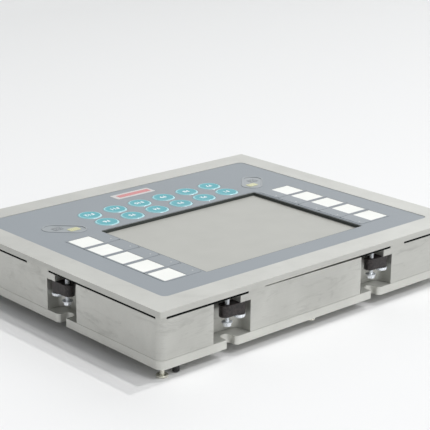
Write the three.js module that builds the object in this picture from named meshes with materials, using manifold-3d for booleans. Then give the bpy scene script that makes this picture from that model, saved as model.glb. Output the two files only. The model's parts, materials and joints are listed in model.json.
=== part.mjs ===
// Operator touch panel with side keys, function keys and swing-out clamps.
// Millimetres. The panel lies on its back: +Z is the way the display faces,
// +X is the reader's right, +Y is the reader's top. Z = 0 is the floor
// the four foot screws stand on, and X = Y = 0 is the middle of the panel.
import * as THREE from 'three'
import { mergeVertices } from 'three/addons/utils/BufferGeometryUtils.js'
import Module from 'manifold-3d'

const wasm = await Module()
wasm.setup()

// ---------- driving dimensions ----------
const GAP = 0.3 // clearance between pieces that touch in life

// Front plate (the aluminium bezel)
const BEZEL_W = 482.6
const BEZEL_H = 395
const BEZEL_T = 6.8
const BEZEL_R = 1.5
const FRONT_Z = 78
const BEZEL_BACK = FRONT_Z - BEZEL_T

// Laminate bed and laminate
const BORDER = 30.8
const BED_DEPTH = 1.2
const BED_Z = FRONT_Z - BED_DEPTH
const BED_R = 7
const LAM_T = 0.5
const LAM_BOTTOM = BED_Z + GAP
const LAM_TOP = LAM_BOTTOM + LAM_T

// Display window, its black seal, the glass and the display behind it
const WIN_W = 250
const WIN_H = 187.5
const WIN_Y = 43.5
const WIN_R = 3
const GLASS_W = 264
const GLASS_H = 201.5
const GLASS_T = 1.8
const GLASS_TOP = FRONT_Z - 5
const SEAL_WALL = 1.4
const SEAL_FLANGE_T = 0.4
const SEAL_FLANGE_W = 5
const SEAL_DROP = 0.9 // how far the seal stays below the laminate's face
const REBATE_Z = GLASS_TOP + GAP + SEAL_FLANGE_T + GAP
const DISPLAY_W = 246
const DISPLAY_H = 184.5
const DISPLAY_R = 0.5
const LCD_W = 275
const LCD_H = 209
const LCD_T = 11
const LCD_R = 2
const LCD_LIP = 0.6

// Function keys: two rows of six round caps
const KEY_R = 15
const KEY_PITCH = 39
const KEY_COLUMNS = 6
const KEY_ROWS = [-72.5, -106.5]
const KEY_TOP = FRONT_Z
const KEY_BOTTOM = BED_Z - 0.7
const KEY_RIM = 1.6
const KEY_SHOULDER = 0.9
const KEY_DISH = 0.3
const STEM_R = 4
const STEM_CLEAR = 0.9 // room under a stem for its travel
const KEY_SEGMENTS = 16
const PLATE_KEY_HOLE_R = 16

// Side keys: five cells each side of the window
const CELL_INNER = 128
const CELL_OUTER = 180.6
const CELL_PITCH = 35.7
const CELL_H = 34.9
const CELL_FIRST_Y = 115.4
const CELL_COUNT = 5
const CELL_R = 3
const LABEL_X = 163
const LABEL_W = 30
const LABEL_H = 29.5
const LABEL_R = 1
const SIDE_KEY_TOP = LAM_TOP + 0.3
const SIDE_RECESS_Z = BED_Z - 1.6
const SIDE_KEY_BOTTOM = SIDE_RECESS_Z + 0.9
const LABEL_RECESS_Z = SIDE_RECESS_Z - 0.8
const LABEL_TOP = SIDE_KEY_TOP - 0.3
const LABEL_BASE_T = 0.5
const LABEL_MARGIN = 0.8
const LABEL_END = 1
const LABEL_RECESS_MARGIN = 2.5
const SIDE_STEM_X = 140.5
const SIDE_STEM_R = 2.5
const SIDE_STEM_CLEAR = 0.6
const STEM_ROOT = 0.5 // how far a stem runs up into its key

// Indicator inserts, set at 45 degrees under the window corners
const IND_X = 153
const IND_Y = -83
const IND_LENGTH = 54
const IND_WIDTH = 28
const IND_R = 13
const IND_TOP = LAM_TOP + 0.4
const IND_RECESS_Z = BED_Z - 1
const IND_LENS_L = 15
const IND_LENS_W = 10
const IND_LENS_R = 2
const IND_LENS_SHIFT = 8
const IND_RIM = 2.2
const IND_DISH = 0.6
const IND_LENS_ROOT = 0.2
const IND_LENS_DROP = 0.2 // how far the lens stays below the rim

// Name plate
const NAME_Y = -144.5
const NAME_W = 61
const NAME_H = 18
const NAME_T = 0.7
const NAME_R = 1

// Keypad board behind the front plate, and the posts that hold it
const BOARD_T = 1.6
const KEYPAD_TOP = BEZEL_BACK - 2.2
const KEYPAD_W = 416
const KEYPAD_H = 326
const KEYPAD_R = 3
const KEYPAD_WIN_W = 252
const KEYPAD_WIN_H = 190
const KEYPAD_WIN_R = 2
const POST_R = 3
const POSTS = [[-195, -150], [195, -150], [-195, 150], [195, 150], [0, -135], [0, 150]]

// Housing frame
const OVERHANG = 2
const HOUSE_W = BEZEL_W - 2 * OVERHANG
const HOUSE_H = BEZEL_H - 2 * OVERHANG
const HOUSE_R = 9
const WALL = 10
const INNER_R = 3
const HOUSE_TOP = BEZEL_BACK - 3.5
const SEAM_Z = 23.1
const LAND_LENGTH = 24
const SIDE_LAND_LENGTH = 41 // on the right and left walls
const LAND_END = 3 // how far a land runs past its pocket's pivot edge
const LAND_DEPTH = 5
const SLOPE_DROP = 1.6 // how far below a land the slope beside it starts
const CORNER_LAND = 8

// Rear plate
const REAR_TOP = SEAM_Z - GAP
const REAR_BOTTOM = 13
const REAR_FLOOR = 3
const CORNER_PAD = 30

// Gasket between bezel and housing
const GASKET_INSET = 0.2
const GASKET_WIDTH = 8
const GASKET_T = 2.9
const GASKET_INNER_R = 2

// Clamp pockets: u runs along the wall from pivot end to bolt end,
// d runs inward from the wall face
const POCKET_L = 53
const POCKET_D = 22
const POCKET_R = 11
const POCKET_BACK = 5
const BRIDGE_L = 14.8
const BRIDGE_BOTTOM = FRONT_Z - 18
const PIVOT_U = 9.5
const PIVOT_D = 7.5
const REACH = 17.6
const NOTCH_HALF = 7
const NOTCH_ROUND = 5

// Clamp lever and its screws
const LEVER_TOP = BRIDGE_BOTTOM - 0.4
const LEVER_T = 14.4 // at the pivot end
const LEVER_BOSS_T = 1.6 // how far the pivot end stands below the bar
const LEVER_HALF = 6.3
const LEVER_TIP = 9.6
const LEVER_STEPS = 3
const PIVOT_SHANK_R = 3
const PIVOT_HEAD_R = 6.9
const PIVOT_HEAD_T = 4.6
const PIVOT_CROWN = 2.2
const PIVOT_CROWN_IN = 2.4
const PIVOT_BITE = 6
const BORE_END = 0.5 // how much deeper a blind bore is than its screw
const BOLT_R = 2.5
const BOLT_POINT = 0.8
const BOLT_TIP_Z = FRONT_Z - 10.3
const BOLT_HEAD_Z = 35
const BOLT_HEAD_T = 4
const BOLT_HEX_R = 4.6
const BOLT_FLANGE_R = 6
const BOLT_FLANGE_T = 1.2

// Foot screws, the short screw and the round power socket on the back
const FOOT_INSET = 12.5
const SHANK_R = 2.6
const SHANK_TOP = REAR_TOP - 1
const FOOT_HEAD_R = 6.5
const FOOT_HEAD_T = 2.6
const FOOT_CROWN = 1
const REAR_SCREW_X = 14.5
const REAR_SCREW_Y = 188.5
const REAR_SCREW_HEAD_R = 5.2
const REAR_SCREW_HEAD_T = 3.4
const SOCKET_X = 208.2
const SOCKET_Y = 183
const SOCKET_R = 3.9
const SOCKET_BORE_R = 3.05
const SOCKET_BOTTOM = 1
const SOCKET_TOP = 22
const SOCKET_END = 3

const CIRCLE = 12
const ROUND_STEPS = 4
const HALF_CIRCLE = 6 // steps round small bores that nothing shows
const CUT = 1 // how far a cutting tool runs past the face it cuts

// ---------- geometry helpers ----------
const stepsFor = (r) => {
  if (r <= 2) return 1
  return r <= 4 ? 2 : ROUND_STEPS
}

const roundedRect = (w, h, r, cx = 0, cy = 0) => {
  const points = []
  const steps = stepsFor(r)
  const corners = [[1, 1, 0], [-1, 1, 1], [-1, -1, 2], [1, -1, 3]]
  for (const [sx, sy, quarter] of corners) {
    for (let i = 0; i <= steps; i++) {
      const a = (quarter + i / steps) * Math.PI / 2
      const x = cx + sx * (w / 2 - r) + r * Math.cos(a)
      const y = cy + sy * (h / 2 - r) + r * Math.sin(a)
      points.push([x, y])
    }
  }
  return points
}

const plainRect = (x0, y0, x1, y1) => [[x0, y0], [x1, y0], [x1, y1], [x0, y1]]

const circlePoints = (r, n, cx = 0, cy = 0) => {
  const points = []
  for (let i = 0; i < n; i++) {
    const a = i * 2 * Math.PI / n
    points.push([cx + r * Math.cos(a), cy + r * Math.sin(a)])
  }
  return points
}

const turned = (points, angle, cx, cy) => points.map(([x, y]) => [
  cx + x * Math.cos(angle) - y * Math.sin(angle),
  cy + x * Math.sin(angle) + y * Math.cos(angle),
])

// A prism over an outline, from z0 up to z1
const prism = (points, z0, z1) => {
  const shape = new THREE.Shape(points.map(([x, y]) => new THREE.Vector2(x, y)))
  const options = { depth: z1 - z0, bevelEnabled: false }
  const geometry = new THREE.ExtrudeGeometry(shape, options)
  geometry.translate(0, 0, z0)
  return solid(geometry)
}

// A turned piece about the Z axis from [radius, z] pairs that start and end on the axis
const turnedPiece = (profile, segments) => {
  const points = profile.map(([r, z]) => new THREE.Vector2(r, z))
  const geometry = new THREE.LatheGeometry(points, segments)
  geometry.rotateX(Math.PI / 2)
  return solid(geometry)
}

const solid = (geometry) => {
  const bare = geometry.clone()
  bare.deleteAttribute('normal')
  bare.deleteAttribute('uv')
  const merged = mergeVertices(bare, 1e-5)
  const mesh = new wasm.Mesh({
    numProp: 3,
    vertProperties: Float32Array.from(merged.attributes.position.array),
    triVerts: Uint32Array.from(merged.index.array),
  })
  return new wasm.Manifold(mesh)
}

const box = (x0, y0, z0, x1, y1, z1) => prism(plainRect(x0, y0, x1, y1), z0, z1)

// A block over an outline with a flat underside at base and its top at the height
// topAt(x) gives for each corner
const slopedPrism = (points, base, topAt) => {
  const shape = new THREE.Shape(points.map(([x, y]) => new THREE.Vector2(x, y)))
  const geometry = new THREE.ExtrudeGeometry(shape, { depth: 1, bevelEnabled: false })
  const corners = geometry.attributes.position
  for (let i = 0; i < corners.count; i++) {
    corners.setZ(i, corners.getZ(i) > 0 ? topAt(corners.getX(i)) : base)
  }
  return solid(geometry)
}

const toGeometry = (body) => {
  const mesh = body.getMesh()
  const geometry = new THREE.BufferGeometry()
  const positions = new THREE.BufferAttribute(mesh.vertProperties, mesh.numProp)
  geometry.setAttribute('position', positions)
  geometry.setIndex(new THREE.BufferAttribute(mesh.triVerts, 1))
  geometry.computeVertexNormals()
  return geometry
}

// ---------- looks ----------
const LOOKS = {
  plate: { color: 0xcdcec8, roughness: 0.42, metalness: 0.85 },
  frame: { color: 0xb4b4ae, roughness: 0.48, metalness: 0.85 },
  laminate: { color: 0xa0a6ac, roughness: 0.55, metalness: 0 },
  sideKey: { color: 0x9ba1a6, roughness: 0.5, metalness: 0 },
  label: { color: 0xf7f8f6, roughness: 0.6, metalness: 0 },
  key: { color: 0x7bc0ca, roughness: 0.4, metalness: 0 },
  indicator: { color: 0x8c9294, roughness: 0.45, metalness: 0 },
  name: { color: 0xe4e2de, roughness: 0.4, metalness: 0 },
  seal: { color: 0x1b1f1d, roughness: 0.8, metalness: 0 },
  glass: { color: 0xbcbdb5, roughness: 0.35, metalness: 0 },
  lcd: { color: 0x8d9092, roughness: 0.4, metalness: 0.7 },
  board: { color: 0x2f5b3a, roughness: 0.6, metalness: 0 },
  lever: { color: 0x2a2627, roughness: 0.55, metalness: 0.2 },
  zinc: { color: 0xc9ced2, roughness: 0.28, metalness: 0.95 },
  socket: { color: 0x1c1c1e, roughness: 0.5, metalness: 0 },
}

const panel = new THREE.Group()
panel.name = 'hmi_touch_panel'

const addNode = (name, body, look, x = 0, y = 0, z = 0) => {
  const material = new THREE.MeshStandardMaterial(LOOKS[look])
  const mesh = new THREE.Mesh(toGeometry(body), material)
  mesh.name = name
  mesh.position.set(x, y, z)
  panel.add(mesh)
}

// ---------- where things sit ----------
const keyPlaces = []
for (const y of KEY_ROWS) {
  for (let i = 0; i < KEY_COLUMNS; i++) {
    keyPlaces.push([(i - (KEY_COLUMNS - 1) / 2) * KEY_PITCH, y])
  }
}

const cellYs = []
for (let i = 0; i < CELL_COUNT; i++) cellYs.push(CELL_FIRST_Y - i * CELL_PITCH)
const CELLS_TOP = CELL_FIRST_Y + CELL_H / 2
const CELLS_BOTTOM = CELL_FIRST_Y - (CELL_COUNT - 1) * CELL_PITCH - CELL_H / 2
const CELL_MID = (CELL_INNER + CELL_OUTER) / 2
const CELL_W = CELL_OUTER - CELL_INNER
const CELLS_MID_Y = (CELLS_TOP + CELLS_BOTTOM) / 2
const CELLS_H = CELLS_TOP - CELLS_BOTTOM
const SIDES = [['left', -1], ['right', 1]]

const WALL_X = HOUSE_W / 2
const WALL_Y = HOUSE_H / 2
const WALLS = {
  top: (u, d) => [u, WALL_Y - d],
  bottom: (u, d) => [u, -WALL_Y + d],
  right: (u, d) => [WALL_X - d, u],
  left: (u, d) => [-WALL_X + d, u],
}
const CLAMPS = [
  ['top_right', 'top', 114.5],
  ['top_left', 'top', -112.3],
  ['bottom_right', 'bottom', 114.5],
  ['bottom_left', 'bottom', -112.3],
  ['right', 'right', 1.8],
  ['left', 'left', 1.8],
]
// Outline given in (u, d) from the pocket's pivot edge, put on its wall
const onWall = (wall, start, outline) => (
  outline.map(([u, d]) => WALLS[wall](start + u, d))
)
const alongX = (wall) => wall === 'top' || wall === 'bottom'
// Where the land beside a pocket starts
const landStart = (wall, start) => (
  start + LAND_END - (alongX(wall) ? LAND_LENGTH : SIDE_LAND_LENGTH)
)
// Where the slope beside a land ends: at the next pocket along the wall, if there is one
const slopeEnd = (wall, start) => {
  const next = CLAMPS.find(([, otherWall, otherStart]) => (
    otherWall === wall && otherStart < start))
  return next ? next[2] + POCKET_L : landStart(wall, start)
}

const indicatorOutline = (side, grow) => {
  const outline = roundedRect(IND_LENGTH + 2 * grow, IND_WIDTH + 2 * grow, IND_R + grow)
  return turned(outline, -side * Math.PI / 4, side * IND_X, IND_Y)
}

// ---------- front plate ----------
const bedW = BEZEL_W - 2 * BORDER
const bedH = BEZEL_H - 2 * BORDER
let plate = prism(roundedRect(BEZEL_W, BEZEL_H, BEZEL_R), BEZEL_BACK, FRONT_Z)
const cutPlate = (tool) => {
  plate = plate.subtract(tool)
}
cutPlate(prism(roundedRect(bedW, bedH, BED_R), BED_Z, FRONT_Z + CUT))
const windowHole = roundedRect(WIN_W, WIN_H, WIN_R, 0, WIN_Y)
cutPlate(prism(windowHole, BEZEL_BACK - CUT, FRONT_Z + CUT))
const rebate = roundedRect(GLASS_W + 2 * GAP, GLASS_H + 2 * GAP, WIN_R, 0, WIN_Y)
cutPlate(prism(rebate, BEZEL_BACK - CUT, REBATE_Z))
for (const [x, y] of keyPlaces) {
  const hole = circlePoints(PLATE_KEY_HOLE_R, CIRCLE, x, y)
  cutPlate(prism(hole, BEZEL_BACK - CUT, FRONT_Z))
}
const labelRecessInner = LABEL_X - LABEL_W / 2 - LABEL_RECESS_MARGIN
for (const [, side] of SIDES) {
  const recess = roundedRect(
    CELL_W + 2 * GAP, CELLS_H + 2 * GAP, CELL_R, side * CELL_MID, CELLS_MID_Y)
  cutPlate(prism(recess, SIDE_RECESS_Z, FRONT_Z))
  const x0 = Math.min(side * labelRecessInner, side * (CELL_OUTER + GAP))
  const x1 = Math.max(side * labelRecessInner, side * (CELL_OUTER + GAP))
  cutPlate(box(x0, CELLS_BOTTOM, LABEL_RECESS_Z, x1, CELLS_TOP, SIDE_RECESS_Z + CUT))
  for (const y of cellYs) {
    const hole = circlePoints(
      SIDE_STEM_R + SIDE_STEM_CLEAR, HALF_CIRCLE, side * SIDE_STEM_X, y)
    cutPlate(prism(hole, BEZEL_BACK - CUT, FRONT_Z))
  }
  cutPlate(prism(indicatorOutline(side, GAP), IND_RECESS_Z, FRONT_Z))
}
for (const [x, y] of POSTS) {
  const post = circlePoints(POST_R, HALF_CIRCLE, x, y)
  plate = plate.add(prism(post, KEYPAD_TOP + GAP, BEZEL_BACK + CUT))
}
addNode('front_plate', plate, 'plate')

// ---------- laminate ----------
const lamOutline = roundedRect(bedW - 2 * GAP, bedH - 2 * GAP, BED_R - GAP)
let laminate = prism(lamOutline, LAM_BOTTOM, LAM_TOP)
const cutLaminate = (outline) => {
  laminate = laminate.subtract(prism(outline, LAM_BOTTOM - CUT, LAM_TOP + CUT))
}
cutLaminate(windowHole)
for (const [x, y] of keyPlaces) {
  cutLaminate(circlePoints(KEY_R + GAP, KEY_SEGMENTS, x, y))
}
for (const [, side] of SIDES) {
  cutLaminate(roundedRect(
    CELL_W + 2 * GAP, CELLS_H + 2 * GAP, CELL_R, side * CELL_MID, CELLS_MID_Y))
  cutLaminate(indicatorOutline(side, GAP))
}
const nameHole = roundedRect(NAME_W + 2 * GAP, NAME_H + 2 * GAP, NAME_R, 0, NAME_Y)
cutLaminate(nameHole)
addNode('front_laminate', laminate, 'laminate')

// ---------- display window seal, touch glass, display ----------
const flangeTop = REBATE_Z - GAP
const flangeBottom = flangeTop - SEAL_FLANGE_T
const seatW = WIN_W - 2 * GAP
const seatH = WIN_H - 2 * GAP
const liner = roundedRect(seatW, seatH, WIN_R, 0, WIN_Y)
const flange = roundedRect(
  WIN_W + 2 * SEAL_FLANGE_W, WIN_H + 2 * SEAL_FLANGE_W, WIN_R, 0, WIN_Y)
const sealHole = roundedRect(
  seatW - 2 * SEAL_WALL, seatH - 2 * SEAL_WALL, WIN_R - SEAL_WALL, 0, WIN_Y)
const seal = prism(liner, flangeBottom, LAM_TOP - SEAL_DROP)
  .add(prism(flange, flangeBottom, flangeTop))
  .subtract(prism(sealHole, flangeBottom - CUT, FRONT_Z + CUT))
addNode('display_seal', seal, 'seal')

const glassOutline = roundedRect(GLASS_W, GLASS_H, WIN_R)
const glass = prism(glassOutline, GLASS_TOP - GLASS_T, GLASS_TOP)
addNode('touch_glass', glass, 'glass', 0, WIN_Y)

const lcdTop = KEYPAD_TOP - BOARD_T - GAP
const displayArea = roundedRect(DISPLAY_W, DISPLAY_H, DISPLAY_R)
const lcd = prism(roundedRect(LCD_W, LCD_H, LCD_R), lcdTop - LCD_T, lcdTop)
  .subtract(prism(displayArea, lcdTop - LCD_LIP, lcdTop + CUT))
addNode('lcd_module', lcd, 'lcd', 0, WIN_Y)

// ---------- keypad board ----------
const keypadWindow = roundedRect(KEYPAD_WIN_W, KEYPAD_WIN_H, KEYPAD_WIN_R, 0, WIN_Y)
const keypadOutline = roundedRect(KEYPAD_W, KEYPAD_H, KEYPAD_R)
const keypad = prism(keypadOutline, KEYPAD_TOP - BOARD_T, KEYPAD_TOP)
  .subtract(prism(keypadWindow, KEYPAD_TOP - BOARD_T - CUT, KEYPAD_TOP + CUT))
addNode('keypad_board', keypad, 'board')

// ---------- label strips and side keys ----------
for (const [sideName, side] of SIDES) {
  const stripHalf = LABEL_W / 2 + LABEL_MARGIN
  let strip = box(
    side * LABEL_X - stripHalf, CELLS_BOTTOM + LABEL_END, LABEL_RECESS_Z + GAP,
    side * LABEL_X + stripHalf, CELLS_TOP - LABEL_END, LABEL_RECESS_Z + GAP + LABEL_BASE_T)
  for (const y of cellYs) {
    const field = roundedRect(LABEL_W, LABEL_H, LABEL_R, side * LABEL_X, y)
    strip = strip.add(prism(field, LABEL_RECESS_Z + GAP, LABEL_TOP))
  }
  addNode(`label_strip_${sideName}`, strip, 'label')

  cellYs.forEach((y, i) => {
    const tile = roundedRect(CELL_W, CELL_H, CELL_R)
    const view = roundedRect(
      LABEL_W + 2 * GAP, LABEL_H + 2 * GAP, LABEL_R + GAP, side * (LABEL_X - CELL_MID), 0)
    const stem = circlePoints(
      SIDE_STEM_R, HALF_CIRCLE, side * (SIDE_STEM_X - CELL_MID), 0)
    const key = prism(tile, SIDE_KEY_BOTTOM, SIDE_KEY_TOP)
      .subtract(prism(view, SIDE_KEY_BOTTOM - CUT, SIDE_KEY_TOP + CUT))
      .add(prism(stem, KEYPAD_TOP + STEM_CLEAR, SIDE_KEY_BOTTOM + STEM_ROOT))
    addNode(`side_key_${sideName}_${i + 1}`, key, 'sideKey', side * CELL_MID, y)
  })
}

// ---------- indicators and name plate ----------
for (const [sideName, side] of SIDES) {
  const lensX = side * (IND_X - IND_LENS_SHIFT)
  const lensY = IND_Y + IND_LENS_SHIFT
  const lens = roundedRect(IND_LENS_L, IND_LENS_W, IND_LENS_R, lensX, lensY)
  const body = prism(indicatorOutline(side, 0), IND_RECESS_Z + GAP, IND_TOP)
    .subtract(prism(indicatorOutline(side, -IND_RIM), IND_TOP - IND_DISH, IND_TOP + CUT))
    .add(prism(lens, IND_RECESS_Z + GAP + IND_LENS_ROOT, IND_TOP - IND_LENS_DROP))
  addNode(`indicator_${sideName}`, body, 'indicator')
}
const namePlate = prism(
  roundedRect(NAME_W, NAME_H, NAME_R), LAM_BOTTOM, LAM_BOTTOM + NAME_T)
addNode('name_plate', namePlate, 'name', 0, NAME_Y)

// ---------- function keys ----------
const keyCap = turnedPiece([
  [0, KEYPAD_TOP + STEM_CLEAR],
  [STEM_R, KEYPAD_TOP + STEM_CLEAR],
  [STEM_R, KEY_BOTTOM],
  [KEY_R, KEY_BOTTOM],
  [KEY_R, KEY_TOP - KEY_SHOULDER],
  [KEY_R - KEY_RIM, KEY_TOP],
  [0, KEY_TOP - KEY_DISH],
], KEY_SEGMENTS)
keyPlaces.forEach(([x, y], i) => {
  addNode(`function_key_${String(i + 1).padStart(2, '0')}`, keyCap, 'key', x, y)
})

// ---------- housing frame ----------
const pocketOutline = () => {
  const u1 = POCKET_L
  const r = POCKET_R
  const points = [[u1, -CUT], [0, -CUT]]
  for (let i = 0; i <= ROUND_STEPS; i++) {
    const a = i / ROUND_STEPS * Math.PI / 2
    points.push([r - r * Math.cos(a), POCKET_D - r + r * Math.sin(a)])
  }
  for (let i = 0; i <= ROUND_STEPS; i++) {
    const a = i / ROUND_STEPS * Math.PI / 2
    points.push([u1 - r + r * Math.sin(a), POCKET_D - r + r * Math.cos(a)])
  }
  return points
}
const bulge = plainRect(
  -POCKET_BACK, WALL / 2, POCKET_L + POCKET_BACK, POCKET_D + POCKET_BACK)

let housing = prism(roundedRect(HOUSE_W, HOUSE_H, HOUSE_R), SEAM_Z, HOUSE_TOP)
const inner = roundedRect(HOUSE_W - 2 * WALL, HOUSE_H - 2 * WALL, INNER_R)
housing = housing.subtract(prism(inner, SEAM_Z - CUT, HOUSE_TOP + CUT))
const landTop = BEZEL_BACK - GAP
const lands = []
for (const sx of [-1, 1]) {
  for (const sy of [-1, 1]) {
    const x0 = sx > 0 ? WALL_X - CORNER_LAND : -WALL_X
    const y0 = sy > 0 ? WALL_Y - CORNER_LAND : -WALL_Y
    lands.push(plainRect(x0, y0, x0 + CORNER_LAND, y0 + CORNER_LAND))
  }
}
for (const [, wall, start] of CLAMPS) {
  housing = housing.add(prism(onWall(wall, start, bulge), SEAM_Z, HOUSE_TOP))
  const land = plainRect(landStart(wall, start), 0, start + LAND_END, LAND_DEPTH)
  lands.push(onWall(wall, 0, land))
}
const ring = (inset) => roundedRect(
  HOUSE_W - 2 * inset, HOUSE_H - 2 * inset, HOUSE_R - inset)
// The strip along the walls, of the given depth, that lands and gasket share
const wallBand = (depth, z0, z1) => (
  prism(ring(0), z0, z1).subtract(prism(ring(depth), z0 - CUT, z1 + CUT))
)
const landBand = wallBand(LAND_DEPTH, HOUSE_TOP - CUT, landTop)
for (const land of lands) {
  housing = housing.add(prism(land, HOUSE_TOP - CUT, landTop).intersect(landBand))
}
// Between two pockets the wall's top falls away from the land in a long slope
for (const [, wall, start] of CLAMPS) {
  const high = landStart(wall, start)
  const low = slopeEnd(wall, start)
  if (low === high) continue
  const topAt = (x) => {
    const share = (x - low) / (high - low)
    return HOUSE_TOP + share * (landTop - SLOPE_DROP - HOUSE_TOP)
  }
  const strip = onWall(wall, 0, plainRect(low, 0, high, LAND_DEPTH))
  housing = housing.add(slopedPrism(strip, HOUSE_TOP - CUT, topAt).intersect(landBand))
}
for (const [, wall, start] of CLAMPS) {
  const pocket = onWall(wall, start, pocketOutline())
  const bridge = onWall(wall, start, plainRect(-CUT, -2 * CUT, BRIDGE_L, POCKET_D + CUT))
  const lower = prism(pocket, SEAM_Z - CUT, BRIDGE_BOTTOM)
  const upper = prism(pocket, BRIDGE_BOTTOM - CUT, landTop + CUT)
    .subtract(prism(bridge, BRIDGE_BOTTOM, landTop + 2 * CUT))
  const [px, py] = WALLS[wall](start + PIVOT_U, PIVOT_D)
  const bore = circlePoints(PIVOT_SHANK_R + GAP, CIRCLE, px, py)
  housing = housing.subtract(lower).subtract(upper)
    .subtract(prism(bore, BRIDGE_BOTTOM - CUT, BRIDGE_BOTTOM + PIVOT_BITE + BORE_END))
}
addNode('housing_frame', housing, 'frame')

// ---------- gasket ----------
const gasketZ = HOUSE_TOP + GAP
const GASKET_REACH = GASKET_INSET + GASKET_WIDTH
const ringHole = roundedRect(
  HOUSE_W - 2 * GASKET_REACH, HOUSE_H - 2 * GASKET_REACH, GASKET_INNER_R)
let gasket = prism(ring(GASKET_INSET), gasketZ, gasketZ + GASKET_T)
  .subtract(prism(ringHole, gasketZ - CUT, gasketZ + GASKET_T + CUT))
const clearBand = wallBand(LAND_DEPTH + GAP, gasketZ - CUT, gasketZ + GASKET_T + CUT)
const gasketClear = (outline) => {
  const reach = prism(outline, gasketZ - CUT, gasketZ + GASKET_T + CUT)
  gasket = gasket.subtract(reach.intersect(clearBand))
}
for (const sx of [-1, 1]) {
  for (const sy of [-1, 1]) {
    const reach = CORNER_LAND + GAP
    const x0 = sx > 0 ? WALL_X - reach : -WALL_X
    const y0 = sy > 0 ? WALL_Y - reach : -WALL_Y
    gasketClear(plainRect(x0, y0, x0 + reach, y0 + reach))
  }
}
for (const [, wall, start] of CLAMPS) {
  const clear = plainRect(
    slopeEnd(wall, start) - GAP, 0, start + LAND_END + GAP, LAND_DEPTH + GAP)
  gasketClear(onWall(wall, 0, clear))
}
addNode('front_gasket', gasket, 'seal')

// ---------- rear plate ----------
let rear = prism(roundedRect(HOUSE_W, HOUSE_H, HOUSE_R), REAR_BOTTOM, REAR_TOP)
let pan = prism(inner, REAR_BOTTOM + REAR_FLOOR, REAR_TOP + CUT)
for (const sx of [-1, 1]) {
  for (const sy of [-1, 1]) {
    const x0 = sx > 0 ? WALL_X - CORNER_PAD : -WALL_X
    const y0 = sy > 0 ? WALL_Y - CORNER_PAD : -WALL_Y
    const pad = box(x0, y0, 0, x0 + CORNER_PAD, y0 + CORNER_PAD, REAR_TOP + 2 * CUT)
    pan = pan.subtract(pad)
  }
}
for (const [, wall, start] of CLAMPS) {
  pan = pan.subtract(prism(onWall(wall, start, bulge), 0, REAR_TOP + 2 * CUT))
}
rear = rear.subtract(pan)
const notchOutline = () => {
  const c = PIVOT_U + REACH
  const u0 = c - NOTCH_HALF
  const u1 = c + NOTCH_HALF
  const points = [[u1, -CUT], [u0 - NOTCH_ROUND, -CUT], [u0 - NOTCH_ROUND, 0]]
  for (let i = 1; i <= ROUND_STEPS; i++) {
    const a = i / ROUND_STEPS * Math.PI / 2
    points.push([
      u0 - NOTCH_ROUND + NOTCH_ROUND * Math.sin(a), NOTCH_ROUND - NOTCH_ROUND * Math.cos(a)])
  }
  for (let i = 0; i <= 2 * ROUND_STEPS; i++) {
    const a = Math.PI - i / ROUND_STEPS * Math.PI / 2
    points.push([c + NOTCH_HALF * Math.cos(a), PIVOT_D + NOTCH_HALF * Math.sin(a)])
  }
  return points
}
for (const [, wall, start] of CLAMPS) {
  const notch = onWall(wall, start, notchOutline())
  rear = rear.subtract(prism(notch, REAR_BOTTOM - CUT, REAR_TOP + CUT))
}
const FEET = []
for (const [xName, sx] of SIDES) {
  for (const [yName, sy] of [['top', 1], ['bottom', -1]]) {
    FEET.push([`${yName}_${xName}`, sx * (WALL_X - FOOT_INSET), sy * (WALL_Y - FOOT_INSET)])
  }
}
const cutRear = (outline) => {
  rear = rear.subtract(prism(outline, REAR_BOTTOM - CUT, REAR_TOP + CUT))
}
for (const [, x, y] of FEET) cutRear(circlePoints(SHANK_R + GAP, CIRCLE, x, y))
cutRear(circlePoints(SHANK_R + GAP, CIRCLE, REAR_SCREW_X, REAR_SCREW_Y))
cutRear(circlePoints(SOCKET_R + GAP, CIRCLE, SOCKET_X, SOCKET_Y))
addNode('rear_plate', rear, 'frame')

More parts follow.
